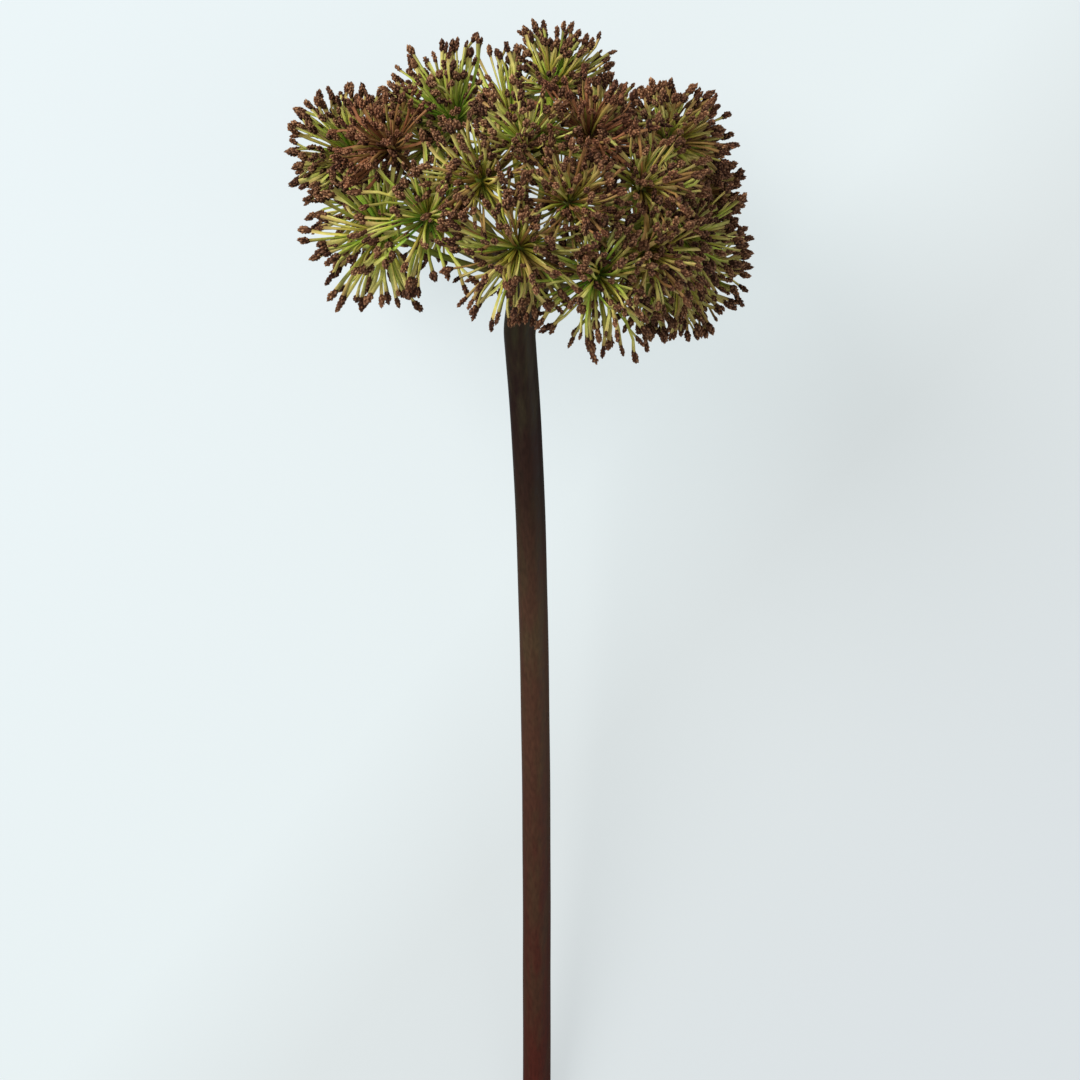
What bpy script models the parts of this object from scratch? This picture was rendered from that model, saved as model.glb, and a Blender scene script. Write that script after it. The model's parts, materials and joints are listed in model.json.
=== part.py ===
"""A dried angelica seed head, cut and laid on its side: a thick stem and a domed umbel of umbellets.

+Y runs from the stem's cut end towards the crown, +Z is up, and z = 0 is the surface it lies on. The
origin is under the middle of the bounding box. Lengths are in metres.
"""

import math
import random

import bmesh
import bpy
from mathutils import Quaternion, Vector

MM = 0.001

# The stem: a stiff tapering stalk that swells into a round hub, where all the rays start.
HUB = Vector((0, 0, 70 * MM))
HUB_RADIUS = 8 * MM
STEM_REACH = 290 * MM  # level distance from the hub to the cut end
STEM_BOW = 3.4 * MM  # how far the cut end has bent off to one side
BOW_END = 0.75  # share of the reach at which the bow straightens
NECK_LEAN = 5.3 * MM  # how strongly the neck leans to the other side under the hub
LEAN_ONSET = 0.03  # shares of the reach over which the lean starts and fades
LEAN_FADE = 0.12
NECK_RADIUS = 5.5 * MM
CUT_RADIUS = 4.9 * MM
STEM_SIDES = 20
STEM_RINGS = 28
HUB_RINGS = 7

# Umbellets, tier by tier from the crown down. A row is the ray's lean away from +Y and its turn about
# +Y (0 faces up, 90 faces +X), both in degrees, then ray length and pedicel length in millimetres.
UMBELLETS = (
    (9, 60, 65, 22.5),
    (30, 188, 66, 24),
    (33, 318, 62, 27),
    (38, 142, 66, 22),
    (42, 226, 67, 22),
    (47, 27, 64, 24),
    (48, 1, 62, 24),
    (49, 69, 67, 23),
    (52.8, 269, 72, 23),
    (51, 303, 67, 23),
    (55, 118, 66, 21),
    (57, 163, 62, 22),
    (60, 94, 61, 22),
    (61, 345, 61, 24),
    (62, 211, 62, 24),
    (65, 40, 65, 24),
    (65, 240, 66, 22),
    (69, 320, 53, 28),
    (70, 14, 64, 24),
    (70, 142, 66, 23),
    (73, 292, 53, 28.5),
    (76, 68, 58, 23),
    (82, 105, 54, 25),
    (82, 358, 57, 28),
    (83, 41, 60, 24),
    (90, 133, 58, 20),
    (91, 25, 56, 27),
)

HEART_RADIUS = 3.2 * MM  # the knot at a ray's end, where its pedicels start
RAY_COLLAR = 5.5 * MM  # distance from the heart's middle at which the ray has slimmed
RAY_RADII = (1.25 * MM, 1.0 * MM)  # at the collar and at the hub
HUB_GAP = 0.3 * MM  # between each ray's foot and the hub

# Each pedicel of the solid stands for a few real ones: a thin shaft that widens into a club of seeds.
SHAFT_RADIUS = 0.7 * MM
CLUB_RADIUS = 1.3 * MM
CLUB_START = 0.68  # share of the pedicel's length
SPACING = math.radians(20)  # least angle between two pedicels
WIDEST_SPREAD = math.radians(112)  # largest angle between a pedicel and the outward direction
SHORTEST = 8 * MM
LENGTH_SPREAD = (0.88, 1.0)
CLEARANCE = CLUB_RADIUS + 0.25 * MM  # from a pedicel's middle line to a neighbour's territory
FLOOR_CLEARANCE = 1.0 * MM

GREEN = (0.20, 0.20, 0.05)
RUST = (0.22, 0.09, 0.05)
RUSTY = (6, 10)  # the umbellets that dried to a rust brown
BARK = (0.06, 0.03, 0.025)
SEED = 11


def clear_scene():
    for obj in list(bpy.data.objects):
        bpy.data.objects.remove(obj, do_unlink=True)


def make_material(name, colour, roughness):
    material = bpy.data.materials.new(name)
    material.use_nodes = True
    shader = material.node_tree.nodes["Principled BSDF"]
    shader.inputs["Base Color"].default_value = (*colour, 1)
    shader.inputs["Roughness"].default_value = roughness
    shader.inputs["Metallic"].default_value = 0
    return material


def make_object(name, bm, material, parent):
    bmesh.ops.recalc_face_normals(bm, faces=bm.faces)
    mesh = bpy.data.meshes.new(name)
    bm.to_mesh(mesh)
    bm.free()
    mesh.materials.append(material)
    mesh.shade_smooth()
    mesh.set_sharp_from_angle(angle=math.radians(40))
    obj = bpy.data.objects.new(name, mesh)
    bpy.context.scene.collection.objects.link(obj)
    obj.parent = parent
    return obj


def sideways(share):
    """The stem's shift along X at a share of its reach: a lean one way under the hub, then a bow the other."""
    lean = NECK_LEAN * math.exp(-share / LEAN_FADE) * (1 - math.exp(-share / LEAN_ONSET))
    return STEM_BOW * math.sin(min(share / BOW_END, 1) * math.pi / 2) - lean


def stem_rings():
    """The stem's sections, as (centre, radius), from the cut end up to just under the hub's top."""
    drop = math.atan2(HUB.z - CUT_RADIUS, STEM_REACH)
    foot = CUT_RADIUS * math.cos(drop)
    rings = []
    for step in range(STEM_RINGS):
        share = 1 - step / STEM_RINGS * (1 - HUB_RADIUS / STEM_REACH)
        centre = Vector((
            sideways(share),
            -STEM_REACH * share,
            HUB.z + (foot - HUB.z) * share,
        ))
        rings.append((centre, CUT_RADIUS + (NECK_RADIUS - CUT_RADIUS) * (1 - share) ** 3))
    down = (rings[-1][0] - HUB).normalized()
    for step in range(HUB_RINGS):
        angle = math.radians(-45 + 120 * step / (HUB_RINGS - 1))
        centre = HUB - down * HUB_RADIUS * math.sin(angle)
        rings.append((centre, HUB_RADIUS * math.cos(angle)))
    return rings


def make_stem(material, parent):
    bm = bmesh.new()
    rings = stem_rings()
    loops = []
    for index, (centre, radius) in enumerate(rings):
        before = rings[max(index - 1, 0)][0]
        after = rings[min(index + 1, len(rings) - 1)][0]
        along = (after - before).normalized()
        across = along.cross(Vector((0, 0, 1))).normalized()
        upward = across.cross(along)
        loop = []
        for side in range(STEM_SIDES):
            angle = side * math.tau / STEM_SIDES
            offset = across * math.cos(angle) + upward * math.sin(angle)
            loop.append(bm.verts.new(centre + offset * radius))
        loops.append(loop)
    for low, high in zip(loops, loops[1:]):
        for side in range(STEM_SIDES):
            other = (side + 1) % STEM_SIDES
            bm.faces.new((low[side], low[other], high[other], high[side]))
    bm.faces.new(loops[0])
    bm.faces.new(loops[-1])
    return make_object("stem", bm, material, parent)


def heading_of(lean, turn):
    lean = math.radians(lean)
    turn = math.radians(turn)
    return Vector((math.sin(lean) * math.sin(turn), math.cos(lean), math.sin(lean) * math.cos(turn)))


def territory(index, headings):
    """The walls round one umbellet, as (inward normal, offset): halfway to each neighbour, and the floor."""
    walls = [(Vector((0, 0, 1)), FLOOR_CLEARANCE)]
    for other, heading in enumerate(headings):
        if other != index:
            normal = (headings[index] - heading).normalized()
            walls.append((normal, HUB.dot(normal) + CLEARANCE))
    return walls


def free_length(start, heading, walls, longest):
    """How far a pedicel can run from start before its club would cross a wall."""
    length = longest
    for normal, offset in walls:
        closing = -heading.dot(normal)
        if closing > 0:
            length = min(length, (start.dot(normal) - offset) / closing)
    return length


def grow(bm, face, heading, sections):
    """Extrude a face along heading, through sections given as (distance from the heart, radius)."""
    for distance, radius in sections:
        face = bmesh.ops.extrude_discrete_faces(bm, faces=[face])["faces"][0]
        middle = face.calc_center_median()
        for vert in face.verts:
            outward = vert.co - middle
            outward -= heading * outward.dot(heading)
            vert.co = heading * distance + outward.normalized() * radius


def pedicel_faces(bm):
    """Faces of the heart that carry a pedicel, evenly spread, starting from the outward pole."""
    chosen = []
    limit = math.cos(WIDEST_SPREAD)
    for face in sorted(bm.faces, key=lambda face: -face.calc_center_median().normalized().z):
        heading = face.calc_center_median().normalized()
        if heading.z > limit and all(heading.angle(taken) > SPACING for _, taken in chosen):
            chosen.append((face, heading))
    return chosen


def make_umbellet(index, headings, dice, material, parent):
    reach, pedicel = (value * MM for value in UMBELLETS[index][2:])
    heart = HUB + headings[index] * reach
    roll = Quaternion((0, 0, 1), dice.uniform(0, math.tau))
    turn = headings[index].to_track_quat("Z", "Y") @ roll
    walls = territory(index, headings)

    bm = bmesh.new()
    bmesh.ops.create_icosphere(bm, subdivisions=2, radius=HEART_RADIUS)
    spikes = pedicel_faces(bm)
    inner_pole = min(bm.verts, key=lambda vert: vert.co.z)
    bmesh.ops.dissolve_verts(bm, verts=[inner_pole])
    ray_face = min(bm.faces, key=lambda face: face.calc_center_median().z)
    ray_end = reach - HUB_RADIUS - HUB_GAP
    grow(bm, ray_face, Vector((0, 0, -1)), ((RAY_COLLAR, RAY_RADII[0]), (ray_end, RAY_RADII[1])))
    for face, heading in spikes:
        longest = pedicel * dice.uniform(*LENGTH_SPREAD)
        length = free_length(heart, turn @ heading, walls, longest)
        if length > SHORTEST:
            grow(bm, face, heading, ((length * CLUB_START, SHAFT_RADIUS), (length, CLUB_RADIUS)))
    to_local = turn.inverted()
    for vert in bm.verts:
        height = (heart + turn @ vert.co).z
        if height < 0:
            vert.co += to_local @ Vector((0, 0, -height))

    obj = make_object(f"umbellet_{index + 1:02d}", bm, material, parent)
    obj.location = heart
    obj.rotation_mode = "QUATERNION"
    obj.rotation_quaternion = turn
    return obj


def centre_over_origin(root):
    bpy.context.view_layer.update()
    corners = [obj.matrix_world @ vert.co for obj in root.children for vert in obj.data.vertices]
    for axis in range(2):
        values = [corner[axis] for corner in corners]
        root.location[axis] = -(min(values) + max(values)) / 2


def main():
    clear_scene()
    root = bpy.data.objects.new("seed_head", None)
    bpy.context.scene.collection.objects.link(root)
    make_stem(make_material("stem", BARK, 0.45), root)
    headings = [heading_of(lean, turn) for lean, turn, _, _ in UMBELLETS]
    green = make_material("umbellet_green", GREEN, 0.6)
    rust = make_material("umbellet_rust", RUST, 0.65)
    dice = random.Random(SEED)
    for index in range(len(UMBELLETS)):
        material = rust if index + 1 in RUSTY else green
        make_umbellet(index, headings, dice, material, root)
    centre_over_origin(root)


main()
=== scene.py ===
"""The looks of a dried angelica seed head, cut and laid on its side, seen from straight above.

Each umbellet of the frame becomes one piece: its ray, the knot at the ray's end, and a burst of thin
pedicels that end in clubs of small round seeds. The stem gets a ribbed skin. Lengths are in metres.
"""

import json
import math

import bmesh
import bpy
import numpy as np
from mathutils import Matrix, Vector


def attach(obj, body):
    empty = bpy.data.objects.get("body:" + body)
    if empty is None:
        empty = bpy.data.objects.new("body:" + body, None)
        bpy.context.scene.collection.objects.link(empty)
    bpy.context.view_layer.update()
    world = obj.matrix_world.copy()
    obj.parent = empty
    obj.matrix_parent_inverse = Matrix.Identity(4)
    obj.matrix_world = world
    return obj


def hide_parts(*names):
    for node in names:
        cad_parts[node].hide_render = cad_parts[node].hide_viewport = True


MM = 0.001
SEED = 27
GOLDEN_ANGLE = math.pi * (3 - math.sqrt(5))

# What the frame's solids are known to have, and what finds it in them.
HUB_RADIUS = 8 * MM
HUB_CAP = HUB_RADIUS / 4  # height of the cap whose points give the hub's middle
KNOT_RADIUS = 3.2 * MM  # of the knot at each ray's end
KNOT_TOLERANCE = 0.1 * MM
REACHES = np.arange(40 * MM, 90 * MM, 0.1 * MM)  # distances from the hub at which a knot may stand
RAY_FOOT_POINTS = 5  # points of a solid nearest to the hub, which make up its ray's foot
POINT_DECIMALS = 6  # points that are the same to this many decimals of a metre count as one
OFF_RAY = 2.5 * MM  # a point further than this from the ray's line belongs to a pedicel or the knot

# The kinds of burst:
# - count is how many pedicels grow within spread, the largest angle between one and the burst's axis.
# - cover is the share of the upper side beyond the spread that short pedicels fill.
# - mingle is how far a club may stand on a neighbour's side.
# - girth is a factor on the thickness of shafts and clubs, and clubs the range of the clubs' lengths.
# - shortening is the share of the longest pedicel's length that the shortest may lack.
# - stunted is the share of pedicels whose clubs stand close over the knot.
# - clumping is how far a pedicel may lean towards its clump's leader, as a share of the way.
KINDS = {
    "full": {
        "count": 120, "spread": math.radians(88), "cover": 0, "mingle": 10 * MM, "girth": 1.0,
        "clubs": (2.8 * MM, 4.4 * MM), "shortening": 0.45, "stunted": 0.15, "clumping": 0.4,
    },
    "bushy": {
        "count": 122, "spread": math.radians(96), "cover": 0, "mingle": 14 * MM, "girth": 1.0,
        "clubs": (2.8 * MM, 4.5 * MM), "shortening": 0.5, "stunted": 0.24, "clumping": 0.45,
    },
    "dense": {
        "count": 206, "spread": math.radians(90), "cover": 0, "mingle": 8 * MM, "girth": 1.0,
        "clubs": (2.8 * MM, 4.4 * MM), "shortening": 0.2, "stunted": 0.2, "clumping": 0.3,
    },
    "fan": {
        "count": 112, "spread": math.radians(52), "cover": 0.3, "mingle": 9 * MM, "girth": 1.0,
        "clubs": (2.8 * MM, 4.4 * MM), "shortening": 0.42, "stunted": 0.2, "clumping": 0.25,
    },
    "tuft": {
        "count": 68, "spread": math.radians(42), "cover": 0.2, "mingle": 9 * MM, "girth": 1.0,
        "clubs": (2.8 * MM, 4.4 * MM), "shortening": 0.2, "stunted": 0.05, "clumping": 0.25,
    },
    "loose": {
        "count": 128, "spread": math.radians(104), "cover": 0, "mingle": 15 * MM, "girth": 1.05,
        "clubs": (3.4 * MM, 5.4 * MM), "shortening": 0.3, "stunted": 0.14, "clumping": 0.3,
    },
    "spare": {
        "count": 70, "spread": math.radians(104), "cover": 0, "mingle": 7 * MM, "girth": 1.1,
        "clubs": (3.0 * MM, 4.8 * MM), "shortening": 0.35, "stunted": 0.12, "clumping": 0.25,
    },
    "open": {
        "count": 92, "spread": math.radians(112), "cover": 0, "mingle": 14 * MM, "girth": 1.2,
        "clubs": (3.4 * MM, 5.4 * MM), "shortening": 0.3, "stunted": 0.12, "clumping": 0.2,
    },
}
# The bursts' kinds. Those not named here are full.
KIND_OF = {
    "umbellet_01": "fan",
    "umbellet_02": "tuft",
    "umbellet_03": "fan",
    "umbellet_06": "bushy",
    "umbellet_07": "bushy",
    "umbellet_08": "dense",
    "umbellet_09": "dense",
    "umbellet_11": "dense",
    "umbellet_12": "bushy",
    "umbellet_13": "dense",
    "umbellet_14": "bushy",
    "umbellet_15": "bushy",
    "umbellet_16": "bushy",
    "umbellet_17": "loose",
    "umbellet_18": "spare",
    "umbellet_19": "bushy",
    "umbellet_20": "bushy",
    "umbellet_21": "open",
    "umbellet_22": "bushy",
    "umbellet_23": "dense",
    "umbellet_24": "loose",
    "umbellet_25": "bushy",
    "umbellet_27": "loose",
}
# Bursts bent aside: what is added to their axis.
LEANINGS = {
    "umbellet_01": (0.2, 0, -0.1),
    "umbellet_02": (0.15, 0, 0),
    "umbellet_03": (-0.2, 0, -0.35),
    "umbellet_07": (0.12, 0, 0),
    "umbellet_17": (-0.2, 0, 0),
    "umbellet_18": (0.1, -0.15, 0),
    "umbellet_21": (-0.45, -0.22, 0),
    "umbellet_24": (-0.05, -0.35, 0),
    "umbellet_27": (0, -0.25, 0),
}
# Bursts that reach further: a factor on the longest pedicel of the frame's solid.
STRETCHES = {
    "umbellet_01": 1.04,
    "umbellet_02": 1.15,
    "umbellet_03": 1.03,
    "umbellet_04": 1.12,
    "umbellet_06": 1.06,
    "umbellet_09": 1.04,
    "umbellet_17": 1.12,
    "umbellet_21": 1.05,
}
FULLEST_SPREAD = math.radians(100)  # largest angle to the axis on the lower side and in the cover
LOWER_SIDE = -0.35  # a direction with a smaller Z than this is on the lower side
UPPER_SIDE = 0.3  # a direction with a larger Z than this is on the upper side
HEIGHT_JITTER = 0.09  # of a direction's even place along the axis of the unit sphere
TURN_JITTER = 0.7  # of its even turn round that axis, in radians
CLUMP_SIZE = 9  # pedicels that lean together
CLUMP_LENGTHS = 0.045  # spread of the clumps' lengths
SHORTENING_POWER = 2.2  # the higher, the fewer short pedicels
STUNTED_LENGTHS = (0.36, 0.68)  # shares of the longest pedicel's length
DROOP_FROM = math.radians(55)  # rays that lean further than this have drooping bursts
DROOP_TO = math.radians(90)
DROOP = 0.45
CROWDING_ROUNDS = 3  # of drawing crowded clubs back from one neighbour after another
OUTWARD_RETURN = 0.35  # share of what a crowded club loses that it wins outwards
FLOOR_REST = 1.8 * MM  # height of the lowest clubs' middle lines
FLOOR_REST_SPREAD = 2 * MM  # how much higher others rest
SHAFT_REST = 0.9 * MM  # least height of a shaft's middle line

# A pedicel: stations along its shaft, and its half width there.
ROOT_DEPTH = 0.5  # distance from the knot's middle at which shafts start, in knot radii
HANDLE_PLACE = 0.55  # where the handle of a pedicel's curve stands, as a share of its length
STATIONS = np.array((0, 0.12, 0.42, 0.78, 1.0))
SHAFT_RADII = np.array((0.42, 0.36, 0.42, 0.50, 0.66)) * MM
SHAFT_WIDTHS = (0.75, 1.3)  # random factor on those
SHAFT_FLATNESS = 0.75
SHAFT_SIDES = 5
BOW = 0.13  # sideways shift of the handle, as a share of the pedicel's length

# A club: a spindle, dark with painted shade, fullest above its foot, set with pointed grains.
CLUB_RADII = (0.8 * MM, 1.3 * MM)
CLUB_STATIONS = np.array((0, 0.2, 0.5, 0.82, 1.0))
CLUB_PROFILE = np.array((0.5, 0.92, 1.0, 0.82, 0.42))
CLUB_OVERLAP = 0.8 * MM  # of the club over the shaft's end
CLUB_TILT = 0.1  # away from the shaft's own heading
SHORTEST_CLUB = 0.6  # share of its length that the club of the shortest pedicel keeps
BARE_SHARE = 0.06  # of clubs that have lost most of their seeds
BARE_RADIUS = 0.6  # factors on such a club
BARE_LENGTH = 0.5
CORE_SHARE = 0.76  # of the core in the club's radius
CORE_SIDES = 5
GRAINS = 16
GRAIN_WIDTH = 0.43  # half width, as a share of the club's radius
GRAIN_LENGTH = 1.45  # half length, as a share of the half width
GRAIN_SINK = 0.62  # how deep a grain's middle stands under the club's outline, in half widths
GRAIN_FLARE = 0.17  # how far a grain leans outwards from the club's own heading
GRAIN_TILT = 0.12  # random lean
GRAIN_DRIFT = 0.03  # from its even place along the club
GRAIN_TURN = 0.3  # from its even turn round the club, in radians
GRAIN_SIZES = (0.6, 1.4)  # random factor on a grain's width
GRAIN_TWISTS = (0.7, 1.4)  # tangent of its turn round its own axis
TOP_GRAIN = 0.97  # place along the club of the grain on its tip
SHARED_SHADE = 0.5  # share of a grain's shade that it has in common with its club
CORE_PAINTED_SHADE = (0.05, 0.2)  # painted shade: how light a core is at its foot, and what it gains up to its tip, so that it stays dark between the grains
SHARP_ANGLE = math.radians(85)

# The map on which colours are to be baked. Each pedicel has a cell of its own, and the knot and the ray
# have the last two columns. A band is the height in a cell at which a part starts, and the height that it
# takes up.
MAP_COLUMNS = 50
CELL_WIDTH = 1 / (MAP_COLUMNS + 2)
CELL_FILL = 0.35  # half width of what stands in a cell
SHAFT_BAND = (0.03, 0.42)
CORE_BAND = (0.53, 0.1)
GRAIN_BAND = (0.81, 0.13)
ROUND_LIFT = 0.02  # shift up a cell round a tube, which keeps its faces from folding flat
GRAIN_ROUND_LIFT = 0.04
RAY_ROUND_LIFT = 0.01
RAY_COLUMN = 0.5  # middles of the last columns, in cell widths from the map's right edge
KNOT_COLUMN = 1.5
LAST_FILL = 0.4  # half width of what stands in those
RAY_BAND = (0.02, 0.9)  # of the map's whole height
KNOT_BAND = (0.1, 0.08)  # its middle and half its height

# Umbellets that dried greener (below 0) or browner than the others.
TONE_SPREAD = 0.12  # from burst to burst
TINTS = {
    "umbellet_01": -0.12,
    "umbellet_02": -0.2,
    "umbellet_03": -0.2,
    "umbellet_08": 0.15,
    "umbellet_09": -0.12,
    "umbellet_10": -0.1,
    "umbellet_11": 0.15,
    "umbellet_13": 0.2,
    "umbellet_14": 0.1,
    "umbellet_15": 0.05,
    "umbellet_17": -0.05,
    "umbellet_18": -0.1,
    "umbellet_19": 0.15,
    "umbellet_20": 0.05,
    "umbellet_21": -0.1,
    "umbellet_22": -0.15,
    "umbellet_23": 0.1,
    "umbellet_24": 0.05,
    "umbellet_25": 0.1,
    "umbellet_27": -0.3,
}

# How far an umbellet in the green slot has turned rust brown, from 0 to 1. For umbellets 08, 11, 13, 16,
# 20, 25
# and 26 it is partly painted shade: the darker rust colour darkens them where they lie in shade. Those not
# named here have turned slightly, and those in the rusty slot have turned to the rust level.
RUST_AND_PAINTED_SHADE = {
    "umbellet_01": 0,
    "umbellet_03": 0,
    "umbellet_04": 0.1,
    "umbellet_05": 0.25,
    "umbellet_08": 0.25,
    "umbellet_11": 0.35,
    "umbellet_12": 0.35,
    "umbellet_13": 0.45,
    "umbellet_14": 0.15,
    "umbellet_16": 0.25,
    "umbellet_17": 0.12,
    "umbellet_19": 0.4,
    "umbellet_20": 0.3,
    "umbellet_23": 0.2,
    "umbellet_24": 0.2,
    "umbellet_25": 0.25,
    "umbellet_26": 0.15,
    "umbellet_27": 0,
}
SLIGHT_RUST = 0.1
RUSTY_SLOT = "rusty_umbellet"
RUST_LEVEL = 0.92
RUST_SPREAD = 0.18  # from stalk to stalk

# The knot: a ball with lumps made of a few random waves.
KNOT_DETAIL = 3  # subdivisions
KNOT_SIZE = 0.86  # share of the radius of the solid's knot
KNOT_WAVES = 4
KNOT_WAVE_RATE = 5  # radians per radius
KNOT_LUMPS = 0.05  # height of one wave
KNOT_TRAITS = {"along": 0.03, "lift": 0.0, "tone": 0.4}

# A ray: a thin stalk with four ridges, thicker where it leaves the hub and where it joins the knot.
RAY_START = 0.8  # distance from the hub's middle, in hub radii
RAY_SIDES = 8
RAY_RINGS = 14
RAY_RADIUS = 1.05 * MM
RAY_FOOT = 0.9 * MM  # extra radius at the hub
RAY_HEAD = 0.5 * MM  # extra radius at the knot
RAY_FOOT_FADE = 0.05  # shares of the ray's length over which those fade
RAY_HEAD_FADE = 0.04
RAY_BOW = 1.6 * MM
RAY_BOW_SHARES = (0.3, 1)  # random factor on that
RAY_GROOVE = 0.9  # radius between the ridges and the ridges' height, as shares of the ray's radius
RAY_RIDGE = 0.14
# The ray's ridges carry a painted highlight: their share of the stalks' paler ridge colour.
RAY_RIDGE_HIGHLIGHT = 0.8
RAY_TONES = (0.2, 0.7)
# A ray is green along most of its length, dark by the knot and barky by the hub.
RAY_PLACES = (0.45, 0.35)  # place in the stalks' colours by the hub, and its loss up to the knot
RAY_WAVE = (0.1, 9)  # height of a slow wave in that, and its rate in radians per length
RAY_BARKS = (1.15, 1.3)  # share of bark by the hub, where it is cut to 1, and its loss up to the knot

TRAITS = ("along", "lift", "tone", "rust", "seed", "bark")

# A grain: two square pyramids base to base, the third number along its own axis.
GRAIN_POINTS = np.array(((1, 0, 0), (0, 1, 0), (-1, 0, 0), (0, -1, 0), (0, 0, 1), (0, 0, -1)), dtype=float)
# Painted light on a grain's points: darker at its foot and on two sides, as painted shade, lighter on the
# other two and lightest at its tip, as painted highlight.
GRAIN_PAINTED_LIGHT = np.array((0.7, 0.1, 0.1, 0.7, 1.0, 0.2))
GRAIN_FACES = np.array((
    (0, 1, 4), (1, 2, 4), (2, 3, 4), (3, 0, 4),
    (1, 0, 5), (2, 1, 5), (3, 2, 5), (0, 3, 5),
))


def unit(vectors):
    return vectors / np.linalg.norm(vectors, axis=-1, keepdims=True)


def across(axis):
    """Two unit vectors square to axis that make a right-handed frame with it."""
    helper = np.array((0.0, 0.0, 1.0)) if abs(axis[2]) < 0.9 else np.array((1.0, 0.0, 0.0))
    side = unit(np.cross(helper, axis))
    return side, np.cross(axis, side)


class Shape:
    """Points with their traits and map places, and the faces between them, until they become a mesh."""

    def __init__(self):
        self.points = []
        self.maps = []
        self.faces = []
        self.traits = {name: [] for name in TRAITS}
        self.count = 0

    def add(self, points, faces, maps, **traits):
        """points and maps end in 3 and 2 numbers; a trait has a number for each point, or one for all."""
        block = points.reshape(-1, 3)
        self.points.append(block)
        self.maps.append(np.broadcast_to(maps, points.shape[:-1] + (2,)).reshape(-1, 2))
        for name in TRAITS:
            values = np.broadcast_to(traits.get(name, 0.0), points.shape[:-1])
            self.traits[name].append(values.reshape(-1))
        for face in faces:
            self.faces.append(face.reshape(-1, face.shape[-1]) + self.count)
        self.count += len(block)

    def to_mesh(self, name):
        points = np.concatenate(self.points).astype(np.float32)
        sizes = np.concatenate([np.full(len(block), block.shape[1]) for block in self.faces])
        corners = np.concatenate([block.ravel() for block in self.faces]).astype(np.int32)
        starts = np.concatenate(([0], np.cumsum(sizes)[:-1]))
        mesh = bpy.data.meshes.new(name)
        mesh.vertices.add(len(points))
        mesh.vertices.foreach_set("co", points.ravel())
        mesh.loops.add(len(corners))
        mesh.loops.foreach_set("vertex_index", corners)
        mesh.polygons.add(len(sizes))
        mesh.polygons.foreach_set("loop_start", starts.astype(np.int32))
        mesh.polygons.foreach_set("loop_total", sizes.astype(np.int32))
        mesh.update(calc_edges=True)
        for trait, values in self.traits.items():
            layer = mesh.attributes.new(trait, "FLOAT", "POINT")
            layer.data.foreach_set("value", np.concatenate(values).astype(np.float32))
        places = np.concatenate(self.maps)[corners].astype(np.float32)
        mesh.uv_layers.new(name="OFBake").data.foreach_set("uv", places.ravel())
        return mesh


def tube_faces(tubes, rings, sides):
    """Faces of closed tubes whose points come ring by ring: quads between rings and a cap at each end."""
    base = np.arange(tubes)[:, None, None] * rings * sides
    ring = np.arange(rings - 1)[None, :, None] * sides
    side = np.arange(sides)[None, None, :]
    after = (side + 1) % sides
    walls = np.stack(
        (base + ring + side, base + ring + after, base + ring + sides + after, base + ring + sides + side),
        axis=-1,
    )
    starts = np.arange(tubes)[:, None] * rings * sides
    foot = starts + np.arange(sides)[::-1]
    head = starts + (rings - 1) * sides + np.arange(sides)
    return [walls, foot, head]


def tube_points(centres, reference, radii, section):
    """Points of tubes round centres (tubes, rings, 3), with section (sides, 2) scaled by radii."""
    tangents = unit(np.gradient(centres, axis=1))
    side = unit(np.cross(reference[:, None, :], tangents))
    upward = np.cross(tangents, side)
    offsets = section[:, 0, None] * side[:, :, None, :] + section[:, 1, None] * upward[:, :, None, :]
    return centres[:, :, None, :] + radii[:, :, None, None] * offsets


def ball(subdivisions):
    """Points and faces of a unit sphere made of triangles."""
    bm = bmesh.new()
    bmesh.ops.create_icosphere(bm, subdivisions=subdivisions, radius=1)
    points = np.array([vert.co[:] for vert in bm.verts])
    faces = np.array([[vert.index for vert in face.verts] for face in bm.faces])
    bm.free()
    return points, faces


# Reading the frame.


def node_points(name):
    points = np.array([vert.co[:] for vert in frame["nodes"][name].data.vertices])
    return np.unique(np.round(points, POINT_DECIMALS), axis=0)


def find_hub():
    """The middle of the stem's round end, where all the rays start."""
    points = node_points("stem")
    top = points[:, 1].max() - HUB_RADIUS
    cap = points[points[:, 1] > top - HUB_CAP]
    return np.array((cap[:, 0].mean(), top, points[:, 2].max() - HUB_RADIUS))


def read_umbellet(name, hub):
    """An umbellet's direction from the hub, its knot's middle and its longest pedicel."""
    points = node_points(name)
    nearest = points[np.argsort(np.linalg.norm(points - hub, axis=1))[:RAY_FOOT_POINTS]]
    heading = unit(nearest.mean(axis=0) - hub)
    gaps = np.linalg.norm(points[None] - (hub + REACHES[:, None] * heading)[:, None], axis=2)
    hits = (np.abs(gaps - KNOT_RADIUS) < KNOT_TOLERANCE).sum(axis=1)
    reach = REACHES[hits == hits.max()].mean()
    knot = hub + reach * heading
    off_ray = np.linalg.norm(np.cross(points - hub, heading), axis=1) > OFF_RAY
    longest = np.linalg.norm(points[off_ray] - knot, axis=1).max()
    return {"name": name, "heading": heading, "knot": knot, "longest": longest}


# The umbellets.


def burst_axis(heading, aside):
    """A burst's axis: out along its ray, bent back towards the stem on wide-leaning rays, and aside."""
    lean = math.acos(heading[1])
    share = min(max((lean - DROOP_FROM) / (DROOP_TO - DROOP_FROM), 0), 1)
    return unit(heading + np.array(aside) + np.array((0, -DROOP * share, 0)))


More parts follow.
